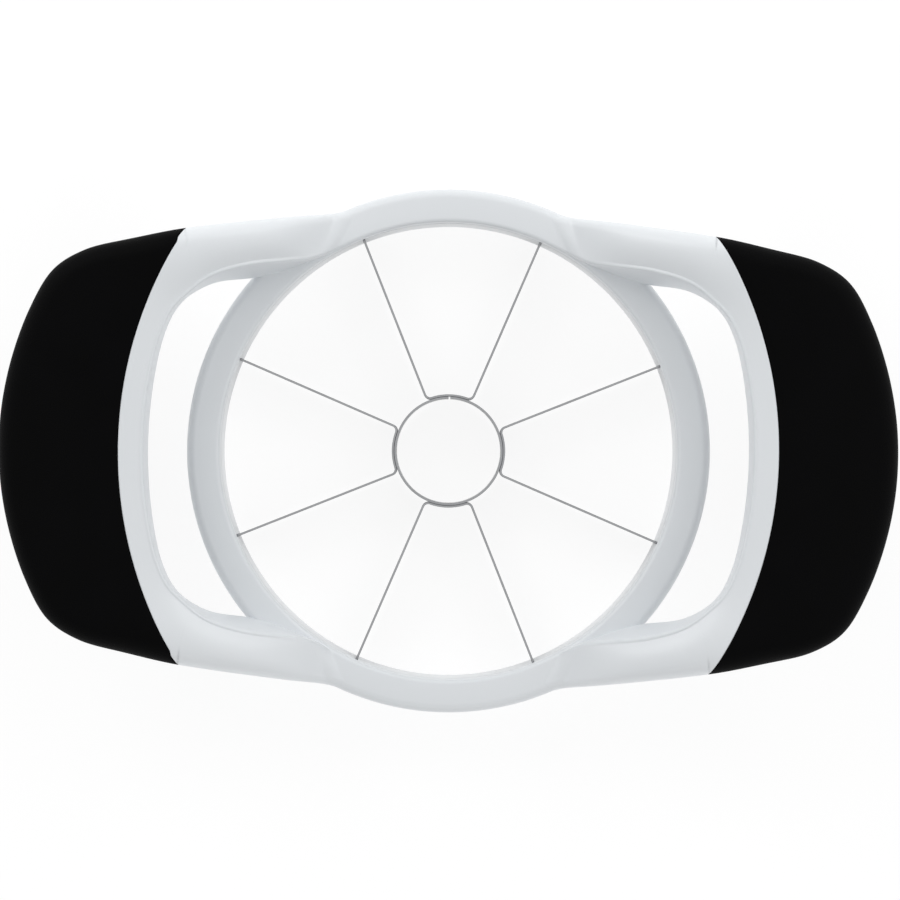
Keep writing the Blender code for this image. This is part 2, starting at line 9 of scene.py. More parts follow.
import bmesh
import bpy
import numpy as np
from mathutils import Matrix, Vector


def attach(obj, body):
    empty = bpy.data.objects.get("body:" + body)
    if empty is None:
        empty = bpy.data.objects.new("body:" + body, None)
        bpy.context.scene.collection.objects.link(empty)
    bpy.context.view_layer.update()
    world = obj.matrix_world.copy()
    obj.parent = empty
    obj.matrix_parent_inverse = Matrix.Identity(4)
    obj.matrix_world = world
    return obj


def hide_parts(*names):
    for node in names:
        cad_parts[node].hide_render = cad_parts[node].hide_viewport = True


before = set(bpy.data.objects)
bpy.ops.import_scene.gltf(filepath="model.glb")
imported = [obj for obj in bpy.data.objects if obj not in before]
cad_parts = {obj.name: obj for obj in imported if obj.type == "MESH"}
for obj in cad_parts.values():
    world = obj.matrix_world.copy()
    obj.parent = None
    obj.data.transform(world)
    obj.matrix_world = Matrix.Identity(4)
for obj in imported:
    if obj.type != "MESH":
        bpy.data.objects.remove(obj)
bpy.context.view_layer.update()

# Meshes: points nearer than this are one, and edges over this many degrees stay sharp
MERGE_DISTANCE = 2e-7
SHARP_ANGLE = 32

# Ring and retaining ring
RING_STEPS = 320
RING_RADIUS = 0.0600
OPENING_RADIUS = 0.0524
CHANNEL_RADIUS = 0.0570
RING_HEIGHT = 0.0150
CHANNEL_HEIGHT = 0.0114
RING_OUTER_ROUND = 0.0022
RING_INNER_ROUND = 0.0010
RING_FOOT_CHAMFER = 0.0005
LIP_ROUND = 0.00015
RETAINER_INNER = 0.0523
RETAINER_OUTER = 0.0567
RETAINER_HEIGHT = 0.0111
RETAINER_ROUND = 0.0004
SLOT_HALF_WIDTH = 0.0003
SLOT_BACK_RADIUS = 0.0561
SLOT_CLEARANCE = 0.0003

# Cutting steel. The ground edge keeps a tenth of the stock's thickness.
CORE_STEPS = 220
CORE_RADIUS = 0.0125
STOCK = 0.0005
STRIP_TOP = 0.0105
CORE_TOP = 0.0109
CUTTING_EDGE = 0.0008
GRIND_TOP = 0.0022
EDGE_SHARE = 0.1
SHEARED_ROUND = 0.00006
STRIP_ARC_RADIUS = 0.0128
SPOKE_ANGLE = np.pi / 8
SPOKE_OFFSET = 0.0003
SPOKE_BEND = 0.0013
HOOK_BEND = 0.0008
HOOK_LENGTH = 0.0026
HOOK_REACH = 0.05605
TAB_BOTTOM = 0.0030
NOTCH_RADIUS = 0.0520
SEAM = 0.0004

# Spot welds: places where strip and core ring touch, mirrored to all four sides
SPOT_WELDS = (
    (CORE_RADIUS, 0, 0.0040),
    (CORE_RADIUS, 0, 0.0080),
    (0, CORE_RADIUS, 0.0040),
    (0, CORE_RADIUS, 0.0080),
)
WELD_DIMPLE_RADIUS = 0.0008
WELD_HEAT_RADIUS = 0.0016

# Loop handles from above: their reach, the upright cylinder that parts white from black, the
# corner where it meets the outer edge, and the roots of an arm's inner and outer edges on the ring
HOLE_REACH = 0.0680
PARTING_REACH = 0.0735
HANDLE_REACH = 0.1015
PARTING_DEPTH = 0.0145
CORNER = (PARTING_REACH - PARTING_DEPTH, 0.0490)
ROOT_ANGLES = np.radians((61.8, 70.4))
ROOT_RADII = RING_RADIUS * np.array((0.8815, 0.9942))
ROOT_INNER, ROOT_OUTER = np.stack(
    (ROOT_RADII * np.cos(ROOT_ANGLES), ROOT_RADII * np.sin(ROOT_ANGLES)), -1
)
CREASE_X = ROOT_INNER[0] + 0.0015

# Sections of the handles: heights, crown, lean of the inner wall, the rim along it, and roundings,
# which take 0.46 of a side's height at most
HANDLE_RISE = 0.0205
HANDLE_DROP = 0.0040
ARM_FOOT_HEIGHT = 0.0015
BAR_THICKNESS = 0.0140
ARM_CROWN = 0.0017
GRIP_CROWN = 0.0013
WALL_LEAN = 0.0024
RIM_ROUND = 0.0005
RIM_WIDTH = 0.0009
RIM_HEIGHT = 0.0002
BASE_ROUND = 0.0009
ARM_ROUND = 0.0032
GRIP_ROUND = 0.0046
FULLEST_ROUND = 0.46
GRIP_TUCK = 0.0012
CREASE_SOFTNESS = 0.0005
CREASE_SINK = 0.05
CREASE_COVER = 0.00004
CROWN_RUN_IN = 0.0140

# Where white and black meet: the shut-off lip is the white that goes on past the left grip's ends
PARTING_GAP = 0.00006
PARTING_ROUND = 0.00035
LEFT_GRIP_ROUND = 0.000525
SHUT_OFF_REACH = 0.0006
SHUT_OFF_START = 0.0457
SHUT_OFF_RUN = 0.0004
MOULD_LINE = 0.00005

# Pockets that core the arms from below: two in each arm, given as shares of the way round a loop
CORING_WALL = 0.0024
CORING_TOP_WALL = 0.0030
CORING_ROUND = 0.0005
CORING_SHARES = ((0.115, 0.144), (0.152, 0.181))

# Sections along a handle, those of the grip drawn a little towards its ends
ARM_STATIONS = 100
WHITE_BAR_STATIONS = 300
GRIP_STATIONS = 301
GRIP_CROWDING = 0.03

# Edge of the finger hole: way out to the bar, share of the root's Y, share of the wall's lean
HOLE_EDGE = np.array(
    (
        (0.000, 1.000, 0.00),
        (0.138, 0.929, 0.04),
        (0.300, 0.858, 0.96),
        (0.484, 0.826, 1.00),
        (0.657, 0.802, 0.35),
        (0.788, 0.742, -0.25),
        (0.866, 0.665, -0.25),
        (0.917, 0.564, -0.20),
        (0.949, 0.457, -0.15),
        (0.972, 0.339, -0.10),
        (0.988, 0.221, -0.05),
        (0.997, 0.107, -0.05),
        (1.000, 0.000, -0.05),
    )
)

# Outer edge of the arm, then of the grip: shares of the way along X and along Y
ARM_EDGE = np.array(
    ((0.000, 0.000), (0.185, 0.306), (0.384, 0.472), (0.628, 0.681), (0.872, 0.889))
)
GRIP_EDGE = np.array(
    (
        (0.1180, 0.982),
        (0.3385, 0.946),
        (0.5530, 0.895),
        (0.7240, 0.798),
        (0.8440, 0.620),
        (0.9330, 0.408),
        (0.9845, 0.198),
        (1.0000, 0.000),
    )
)


def unit(vectors):
    """Vectors divided by their lengths."""
    return vectors / np.maximum(np.linalg.norm(vectors, axis=-1, keepdims=True), 1e-12)


def smooth_step(t):
    """3 t squared less 2 t cubed, held between 0 and 1."""
    t = np.clip(t, 0, 1)
    return t * t * (3 - 2 * t)


def spline(points, position, axis=0):
    """Smooth curve through control points: cubic Hermite spans whose slope at a control point is
    half the way between its two neighbours. The ends go on straight."""
    points = np.moveaxis(points, axis, 0)
    last = len(points) - 1
    padded = np.concatenate((2 * points[:1] - points[1:2], points, 2 * points[-1:] - points[-2:-1]))
    span = np.clip(position.astype(int), 0, last - 1)
    t = (position - span).reshape((-1,) + (1,) * (points.ndim - 1))
    before, start, end, after = (padded[span + k] for k in range(4))
    curve = (
        start * (2 * t**3 - 3 * t**2 + 1)
        + (end - before) / 2 * (t**3 - 2 * t**2 + t)
        + end * (3 * t**2 - 2 * t**3)
        + (after - start) / 2 * (t**3 - t**2)
    )
    return np.moveaxis(curve, 0, axis)


def round_corner(before, corner, after, radius, steps):
    """Arcs that round a row of corners: each centre is on the bisector, radius / sin(half angle)
    from the corner, and the arc runs between the two points where it touches the sides."""
    corners = np.broadcast_arrays(before, corner, after)
    before, corner, after = (np.asarray(points, float) for points in corners)
    radius = np.broadcast_to(np.asarray(radius, float), corner.shape[:-1])[..., None]
    to_before = unit(before - corner)
    to_after = unit(after - corner)
    half = np.arccos(np.clip((to_before * to_after).sum(-1, keepdims=True), -1, 1)) / 2
    centre = corner + unit(to_before + to_after) * radius / np.sin(half)
    first = corner + to_before * radius / np.tan(half) - centre
    last = corner + to_after * radius / np.tan(half) - centre
    start = np.arctan2(first[..., 1:], first[..., :1])
    turn = (np.arctan2(last[..., 1:], last[..., :1]) - start + np.pi) % (2 * np.pi) - np.pi
    angle = start + turn * np.linspace(0, 1, steps + 1)
    ring = np.stack((np.cos(angle), np.sin(angle)), -1) * radius[..., None, :]
    return centre[..., None, :] + ring


def skin(points, closed_rows=False, caps=False):
    """Vertices and quads of a grid of points[row, column]. Columns close into loops. The rows close
    too for a turned shape, or each end gets one face."""
    rows, columns = points.shape[:2]
    number = np.arange(rows * columns).reshape(rows, columns)
    near = number if closed_rows else number[:-1]
    far = np.roll(number, -1, 0) if closed_rows else number[1:]
    quads = np.stack((near, np.roll(near, -1, 1), np.roll(far, -1, 1), far), -1).reshape(-1, 4)
    ends = [number[0].tolist(), number[-1][::-1].tolist()] if caps else []
    return points.reshape(-1, 3), quads.tolist() + ends


def piece(name, skins, material, replaced):
    """One object made of closed skins. Doubled points are merged, faces point outwards, and edges
    over 32 degrees stay sharp."""
    mesh = bpy.data.meshes.new(name)
    vertices, faces, count = [], [], 0
    for points, quads in skins:
        vertices.append(points)
        faces += [[index + count for index in face] for face in quads]
        count += len(points)
    mesh.from_pydata(np.concatenate(vertices).tolist(), [], faces)
    tidy = bmesh.new()
    tidy.from_mesh(mesh)
    bmesh.ops.remove_doubles(tidy, verts=tidy.verts, dist=MERGE_DISTANCE)
    bmesh.ops.dissolve_degenerate(tidy, edges=tidy.edges, dist=MERGE_DISTANCE / 2)
    bmesh.ops.recalc_face_normals(tidy, faces=tidy.faces)
    tidy.to_mesh(mesh)
    tidy.free()
    mesh.shade_smooth()
    mesh.set_sharp_from_angle(angle=np.radians(SHARP_ANGLE))
    mesh.materials.append(material)
    thing = bpy.data.objects.new(name, mesh)
    bpy.context.scene.collection.objects.link(thing)
    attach(thing, "root")
    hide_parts(replaced)


def turned(profile, angles):
    """A (radius, height) profile carried round the Z axis: x = r cos a, y = r sin a, z = height. The
    profile is one loop, or a loop for each angle."""
    profile = np.broadcast_to(profile, (len(angles),) + profile.shape[-2:])
    radius, height = profile[..., 0], profile[..., 1]
    across = np.cos(angles)[:, None] * radius
    along = np.sin(angles)[:, None] * radius
    return np.stack((across, along, height), -1)


# Materials


def colour(code):
    """sRGB hex to linear: c / 12.92 below 0.04045, else ((c + 0.055) / 1.055) to the power 2.4."""
    value = np.array([int(code[k : k + 2], 16) for k in (1, 3, 5)]) / 255
    linear = np.where(value <= 0.04045, value / 12.92, ((value + 0.055) / 1.055) ** 2.4)
    return (*linear.tolist(), 1.0)


def add(tree, kind, links=None, **settings):
    """Adds a node, sets its properties and sockets, and links its inputs."""
    node = tree.nodes.new(kind)
    for key, value in settings.items():
        if hasattr(node, key):
            setattr(node, key, value)
        else:
            node.inputs[key.replace("_", " ")].default_value = value
    for key, source in (links or {}).items():
        tree.links.new(source, node.inputs[key])
    return node


def new_material(name):
    """A material with its tree, its Principled shader and the object's own coordinates."""
    material = bpy.data.materials.new(name)
    material.use_nodes = True
    tree = material.node_tree
    shader = tree.nodes["Principled BSDF"]
    place = add(tree, "ShaderNodeTexCoord").outputs["Object"]
    return material, tree, shader, place


def moulded_abs(name, light, shade, roughness):
    """Moulded ABS: an even, faintly satin white. The mould's fine spark texture breaks up the gloss,
    and slow flow marks, about 45 mm across, change the tone a little. The grain is 0.1 mm on the
    real tool, and drawn at 0.35 mm because finer doesn't show."""
    material, tree, shader, place = new_material(name)
    flow = add(tree, "ShaderNodeTexNoise", {"Vector": place}, Scale=1 / 0.045, Detail=2.0)
    tone = add(tree, "ShaderNodeMix", {"Factor": flow.outputs["Fac"]}, data_type="RGBA")
    tone.inputs[6].default_value = colour(shade)
    tone.inputs[7].default_value = colour(light)
    tree.links.new(tone.outputs[2], shader.inputs["Base Color"])
    grain = add(tree, "ShaderNodeTexNoise", {"Vector": place}, Scale=1 / 0.00035, Detail=2.0)
    gloss = add(
        tree,
        "ShaderNodeMapRange",
        {"Value": grain.outputs["Fac"]},
        To_Min=roughness - 0.05,
        To_Max=roughness + 0.07,
    )
    tree.links.new(gloss.outputs["Result"], shader.inputs["Roughness"])
    bump = add(
        tree, "ShaderNodeBump", {"Height": grain.outputs["Fac"]}, Distance=0.00002, Strength=0.5
    )
    tree.links.new(bump.outputs["Normal"], shader.inputs["Normal"])
    shader.inputs["IOR"].default_value = 1.53
    return material


def overmoulded_tpe(name):
    """Overmoulded TPE: a soft black elastomer with a dull eroded skin. It shows a close matt grain
    of 0.2 to 0.3 mm, almost no gloss, and slightly smoother patches about 12 mm across."""
    material, tree, shader, place = new_material(name)
    patch = add(tree, "ShaderNodeTexNoise", {"Vector": place}, Scale=1 / 0.012, Detail=3.0)
    tone = add(tree, "ShaderNodeMix", {"Factor": patch.outputs["Fac"]}, data_type="RGBA")
    tone.inputs[6].default_value = colour("#030303")
    tone.inputs[7].default_value = colour("#070708")
    tree.links.new(tone.outputs[2], shader.inputs["Base Color"])
    grain = add(
        tree, "ShaderNodeTexVoronoi", {"Vector": place}, Scale=1 / 0.00032, feature="SMOOTH_F1"
    )
    fine = add(tree, "ShaderNodeTexNoise", {"Vector": place}, Scale=1 / 0.00022, Detail=1.0)
    height = add(
        tree,
        "ShaderNodeMath",
        {0: grain.outputs["Distance"], 1: fine.outputs["Fac"]},
        operation="ADD",
    )
    bump = add(
        tree, "ShaderNodeBump", {"Height": height.outputs[0]}, Distance=0.00005, Strength=0.6
    )
    tree.links.new(bump.outputs["Normal"], shader.inputs["Normal"])
    gloss = add(
        tree, "ShaderNodeMapRange", {"Value": patch.outputs["Fac"]}, To_Min=0.52, To_Max=0.66
    )
    tree.links.new(gloss.outputs["Result"], shader.inputs["Roughness"])
    shader.inputs["IOR"].default_value = 1.48
    shader.inputs["Specular IOR Level"].default_value = 0.03
    return material


def stainless_strip(name):
    """Rolled stainless strip: a grey satin metal with fine lines along its length, 0.2 mm apart and
    11 mm long. Its lower edge is ground across, with the same lines upright, and each spot weld
    leaves a dimple 1.6 mm across in a straw-coloured heat ring."""
    material, tree, shader, place = new_material(name)
    split = add(tree, "ShaderNodeSeparateXYZ", {"Vector": place})
    # Cells per metre: one is 11 mm long and 0.2 mm wide
    rolled = add(tree, "ShaderNodeMapping", {"Vector": place}, Scale=(90.0, 90.0, 5000.0))
    lines = add(tree, "ShaderNodeTexNoise", {"Vector": rolled.outputs[0]}, Scale=1.0, Detail=3.0)
    ground = add(tree, "ShaderNodeMapping", {"Vector": place}, Scale=(5000.0, 5000.0, 90.0))
    cuts = add(tree, "ShaderNodeTexNoise", {"Vector": ground.outputs[0]}, Scale=1.0, Detail=2.0)
    body = add(
        tree,
        "ShaderNodeMapRange",
        {"Value": split.outputs["Z"]},
        From_Min=GRIND_TOP - 0.00005,
        From_Max=GRIND_TOP + 0.00005,
    )
    finish = add(
        tree,
        "ShaderNodeMix",
        {"Factor": body.outputs[0], 2: cuts.outputs["Fac"], 3: lines.outputs["Fac"]},
        data_type="FLOAT",
    )
    mirrored = add(tree, "ShaderNodeVectorMath", {0: place}, operation="ABSOLUTE")
    nearest = None
    for weld in SPOT_WELDS:
        away = add(tree, "ShaderNodeVectorMath", {0: mirrored.outputs[0]}, operation="DISTANCE")
        away.inputs[1].default_value = weld
        if nearest is None:
            nearest = away.outputs["Value"]
        else:
            nearest = add(
                tree, "ShaderNodeMath", {0: nearest, 1: away.outputs["Value"]}, operation="MINIMUM"
            ).outputs[0]
    tint = add(tree, "ShaderNodeValToRGB")
    spread = add(tree, "ShaderNodeMapRange", {"Value": nearest}, From_Max=WELD_HEAT_RADIUS)
    tree.links.new(spread.outputs[0], tint.inputs["Fac"])
    # From the weld outwards: its grey, the straw of the heat, then the plain metal
    ramp = tint.color_ramp
    ramp.elements[0].position = 0.30
    ramp.elements[0].color = colour("#86888A")
    ramp.elements[1].position = 0.95
    ramp.elements[1].color = colour("#9D9EA0")
    straw = ramp.elements.new(0.55)
    straw.color = colour("#8F8068")
    bright = add(
        tree, "ShaderNodeMapRange", {"Value": finish.outputs[0]}, To_Min=0.88, To_Max=1.08
    )
    shaded = add(
        tree,
        "ShaderNodeVectorMath",
        {0: tint.outputs["Color"], "Scale": bright.outputs[0]},
        operation="SCALE",
    )
    tree.links.new(shaded.outputs[0], shader.inputs["Base Color"])
    gloss = add(
        tree, "ShaderNodeMapRange", {"Value": finish.outputs[0]}, To_Min=0.22, To_Max=0.42
    )
    tree.links.new(gloss.outputs[0], shader.inputs["Roughness"])
    dimple = add(
        tree,
        "ShaderNodeMapRange",
        {"Value": nearest},
        From_Max=WELD_DIMPLE_RADIUS,
        interpolation_type="SMOOTHSTEP",
    )
    relief = add(
        tree,
        "ShaderNodeMath",
        {0: finish.outputs[0], 2: dimple.outputs[0]},
        operation="MULTIPLY_ADD",
    )
    relief.inputs[1].default_value = 0.12
    bump = add(
        tree, "ShaderNodeBump", {"Height": relief.outputs[0]}, Distance=0.00006, Strength=0.6
    )
    tree.links.new(bump.outputs["Normal"], shader.inputs["Normal"])
    shader.inputs["Metallic"].default_value = 1.0
    shader.inputs["Anisotropic"].default_value = 0.4
    return material


# Loop handles


def handle_outline():
    """Control points (inner x, y, outer x, y, lean) round the right handle, from the back arm's root
    by way of the grip to the front arm's root: the two shares of each table give the place between
    root, corner and bar."""
    inner_x = ROOT_INNER[0] + (HOLE_REACH - ROOT_INNER[0]) * HOLE_EDGE[:, 0]
    inner_y = ROOT_INNER[1] * HOLE_EDGE[:, 1]
    arm = ROOT_OUTER + (np.array(CORNER) - ROOT_OUTER) * ARM_EDGE
    grip_x = CORNER[0] + (HANDLE_REACH - CORNER[0]) * GRIP_EDGE[:, 0]
    grip = np.stack((grip_x, CORNER[1] * GRIP_EDGE[:, 1]), -1)
    outer = np.concatenate((arm, grip))
    back = np.column_stack((inner_x, inner_y, outer, WALL_LEAN * HOLE_EDGE[:, 2]))
    front = back[-2::-1] * (1, -1, 1, -1, 1)
    return np.concatenate((back, front))


OUTLINE = handle_outline()
LAST_SPAN = len(OUTLINE) - 1


def rise(x):
    """Share of the handle's rise at a distance from the middle: 1 - (1 - t) squared from the crease
    to the bar, and falling away inside the ring."""
    t = (x - CREASE_X) / (PARTING_REACH - CREASE_X)
    return np.where(t < 0, 2 * t, 1 - (1 - np.clip(t, 0, 1)) ** 2)


def top_height(x):
    """Height of the top: the rise, less a drop that grows with the square of the way over the grip.
    Near the crease the arm, h above the ring's top, runs into it by (h + sqrt(h squared + softness
    squared)) / 2, a smooth larger of h and 0, less a twentieth of the softness."""
    beyond = np.clip((x - PARTING_REACH) / (HANDLE_REACH - PARTING_REACH), 0, None)
    arm = HANDLE_RISE * rise(x) - HANDLE_DROP * beyond**2
    away = smooth_step((x - CREASE_X) / CROWN_RUN_IN)
    soft = CREASE_SOFTNESS * (1 - away)
    return RING_HEIGHT - CREASE_COVER + (arm + np.sqrt(arm**2 + soft**2)) / 2 - soft * CREASE_SINK


def base_height(x):
    """Height of the underside: the top less a depth that goes from the arm's foot to the bar's
    thickness as the handle rises."""
    risen = np.clip(rise(x), 0, None)
    arm_depth = RING_HEIGHT - ARM_FOOT_HEIGHT
    return RING_HEIGHT + HANDLE_RISE * risen - arm_depth - (BAR_THICKNESS - arm_depth) * risen


def section_frame(position):
    """Inner point, outward direction, width, lean and outer distance at each station."""
    row = spline(OUTLINE, position)
    inner = row[:, :2]
    across = row[:, 2:4] - inner
    return inner, unit(across), np.linalg.norm(across, axis=1), row[:, 4], row[:, 2]


def point(s, z):
    """Pairs (distance across, height) from arrays."""
    s, z = np.broadcast_arrays(s, z)
    return np.stack((s, z), -1)


def between(start, end, shares):
    """Straight run of points from one row of points to another."""
    return start[:, None] + (end - start)[:, None] * shares[:, None]


def section_paths(position):
    """Each section as its inner wall (up from the foot to the rim), its upper path (from the rim
    over the crown to the outer wall), the rounding under the outer wall, and the foot's first
    point. The crown adds 4 crown w (1 - w), with w the way from the rim to the outer wall."""
    inner, across, width, lean, reach = section_frame(position)
    roundness = smooth_step((reach - CORNER[0]) / (PARTING_REACH - CORNER[0]))
    edge = ARM_ROUND + (GRIP_ROUND - ARM_ROUND) * roundness
    fade = smooth_step((inner[:, 0] + across[:, 0] * width / 2 - CREASE_X) / CROWN_RUN_IN)
    crown = (ARM_CROWN + (GRIP_CROWN - ARM_CROWN) * roundness) * fade
    rim_top = top_height(inner[:, 0] + across[:, 0] * lean)
    outer_top = point(width, top_height(reach))
    outer_base = point(width - GRIP_TUCK * roundness, base_height(reach))
    inner_base = point(0 * width, base_height(inner[:, 0]))
    rim = point(lean, rim_top)
    valley = point(lean + RIM_WIDTH, rim_top - RIM_HEIGHT * fade)
    rim_arc = round_corner(inner_base, rim, valley, RIM_ROUND, steps=6)
    edge = np.minimum(edge, FULLEST_ROUND * (outer_top[:, 1] - outer_base[:, 1]))
    top_arc = round_corner(valley, outer_top, outer_base, edge, steps=9)
    base_arc = round_corner(outer_top, outer_base, inner_base, edge, steps=9)
    foot_arc = round_corner(outer_base, inner_base, rim, BASE_ROUND, steps=4)
    over = between(valley, top_arc[:, 0], np.linspace(0, 1, 5))
    over = np.concatenate((rim_arc[:, -1:], over), 1)
    smooth = spline(over, np.linspace(0, 5, 26), 1)
    upper = np.concatenate((smooth[:, :-1], top_arc), 1)
    way = np.clip((upper[..., 0] - valley[:, :1]) / (width - valley[:, 0])[:, None], 0, 1)
    upper[..., 1] += 4 * crown[:, None] * way * (1 - way)
    wall = between(foot_arc[:, -1], rim_arc[:, 0], np.linspace(0, 1, 5)[1:-1])
    inner_wall = np.concatenate((foot_arc, wall, rim_arc[:, :-1]), 1)
    return inner, across, width, lean, inner_wall, upper, base_arc, foot_arc[:, 0]


def reading(path, index):
    """Points of each path at fractional indices, by straight lines between neighbours."""
    low = np.clip(np.floor(index).astype(int), 0, path.shape[1] - 2)
    part = (index - low)[..., None]
    near = np.take_along_axis(path, low[..., None], 1)
    far = np.take_along_axis(path, low[..., None] + 1, 1)
    return near + (far - near) * part


def crossing(path, s, rising):
    """Fractional index at which each path first passes the distance s."""
    sign = 1 if rising else -1
    passed = sign * (path[..., 0] - s[:, None]) >= 0
    first = np.where(passed.any(1), passed.argmax(1), path.shape[1] - 1)
    first = np.clip(first, 1, None)
    rows = np.arange(len(path))
    low, high = path[rows, first - 1, 0], path[rows, first, 0]
    part = np.where(np.abs(high - low) > 1e-9, (s - low) / np.where(high == low, 1, high - low), 1)
    return first - 1 + np.clip(part, 0, 1)


def parting_distance(inner, across, gap, lip):
    """Distance across at which each section's line leaves the upright parting cylinder: the larger
    root s of |inner - centre + s across| = radius, less a gap. Near the outer edge the white goes
    on by a lip."""
    radius = (CORNER[1] ** 2 + PARTING_DEPTH**2) / (2 * PARTING_DEPTH)
    offset = inner - np.array((PARTING_REACH - radius, 0))
    along = (offset * across).sum(1)
    distance = -along + np.sqrt(along**2 - (offset**2).sum(1) + (radius - gap) ** 2)
    beside = np.abs(inner[:, 1] + across[:, 1] * distance)
    return distance + lip * smooth_step((beside - SHUT_OFF_START) / SHUT_OFF_RUN)


def stand_up(inner, across, loop, turn):
    """Section loops put in their upright planes, and the whole handle turned by 0 or half a turn."""
    x = (inner[:, None, 0] + across[:, None, 0] * loop[..., 0]) * turn
    y = (inner[:, None, 1] + across[:, None, 1] * loop[..., 0]) * turn
    return np.stack((x, y, loop[..., 1]), -1)


def corner_station(gap, lip):
    """Station where the parting reaches the outer edge, looked for round the corner's own."""
    position = np.linspace(3.5, 6.5, 3001)
    inner, across, width, _, _ = section_frame(position)
    return np.interp(0, width - parting_distance(inner, across, gap, lip), position)


BASE_SHARES = np.linspace(0, 1, 9)
GRIP_TOP_SHARES = np.linspace(0, 1, 40)
GRIP_UNDER_SHARES = np.linspace(0, 1, 24)
WALL_SHARES = np.array((0.12, 0.3, 0.46, 0.485, 0.5, 0.515, 0.54, 0.7, 0.88))
MOULD_LINE_SHARES = np.array((0, 0, 0, 0.5, 1, 0.5, 0, 0, 0))
ROUNDING = np.linspace(0, np.pi / 2, 6)


def white_loop(turn):
    """Frame's share of a handle: the section as far out as the parting cylinder, whose edge is
    rounded, with two pockets that core each arm from below."""
    lip = SHUT_OFF_REACH * (turn < 0)
    last = corner_station(PARTING_GAP, lip)
    runs = [
        np.linspace(0, last, ARM_STATIONS),
        np.linspace(last, LAST_SPAN - last, WHITE_BAR_STATIONS)[1:-1],
        np.linspace(LAST_SPAN - last, LAST_SPAN, ARM_STATIONS),
    ]
    pockets = [(a * LAST_SPAN, b * LAST_SPAN) for a, b in CORING_SHARES]
    pockets += [(LAST_SPAN - b, LAST_SPAN - a) for a, b in pockets]
    ends = [edge for pocket in pockets for edge in pocket]
    position = np.sort(np.concatenate(runs + [ends, ends]))
    cored = np.zeros(len(position), bool)
    for first, final in pockets:
        cored |= (position > first) & (position < final)
        cored[np.flatnonzero(position == first)[-1]] = True
        cored[np.flatnonzero(position == final)[0]] = True
    inner, across, width, lean, wall, upper, base_arc, foot = section_paths(position)
    limit = np.minimum(parting_distance(inner, across, PARTING_GAP, lip), width)
    soft = np.clip(width - limit, 0, PARTING_ROUND)
    base_run = between(base_arc[:, -1], foot, BASE_SHARES[1:-1])
    outer, nearer = limit - CORING_WALL, CORING_WALL + lean
    ceiling = top_height(inner[:, 0] + across[:, 0] * (lean + width) / 2) - CORING_TOP_WALL
    start_s, start_z = base_arc[:, -1].T
    slope = (foot[:, 1] - start_z) / (foot[:, 0] - start_s)
    pocket = np.stack(
        (
            point(outer, start_z + slope * (outer - start_s)),
            point(outer, ceiling - CORING_ROUND),
            point(outer - CORING_ROUND, ceiling),
            point((outer + nearer) / 2, ceiling),
            point(nearer + CORING_ROUND, ceiling),
            point(nearer, ceiling - CORING_ROUND),
            point(CORING_WALL, start_z + slope * (CORING_WALL - start_s)),
        ),
        1,
    )
    base_run = np.where(cored[:, None, None], pocket, base_run)
    lower = np.concatenate((base_arc, base_run, foot[:, None]), 1)

    # Both paths end at the parting with a quarter round. A section that stays white to its outer
    # wall keeps its lower path as it is, and has the mould line.
    cut = crossing(upper, limit - soft, True)
    over = reading(upper, cut[:, None] * np.linspace(0, 1, upper.shape[1]))
    whole = (limit >= width)[:, None]
    arc_s = limit[:, None] - soft[:, None] * (1 - np.sin(ROUNDING[1:]))
    arc_index = np.stack([crossing(upper, s, True) for s in arc_s.T], 1)
    arc_top = reading(upper, arc_index)
    arc_top[..., 1] -= soft[:, None] * (1 - np.cos(ROUNDING[1:]))
    cut = crossing(lower, limit - soft, False)
    keep = cut[:, None] + (lower.shape[1] - 1 - cut[:, None]) * np.linspace(0, 1, lower.shape[1])
    keep = np.where(whole, np.arange(lower.shape[1]), keep)
    under = reading(lower, keep)
    arc_index = np.stack([crossing(lower, s, False) for s in arc_s[:, ::-1].T], 1)
    arc_index = np.where(whole, 0, arc_index)
    arc_base = reading(lower, arc_index)
    arc_base[..., 1] += soft[:, None] * (1 - np.cos(ROUNDING[:0:-1]))
    side = between(arc_top[:, -1], arc_base[:, 0], WALL_SHARES)
    side[..., 0] += np.where(whole, MOULD_LINE, 0) * MOULD_LINE_SHARES
    loop = np.concatenate((wall, over, arc_top, side, arc_base, under[:, :-1]), 1)
    return skin(stand_up(inner, across, loop, turn), caps=True)


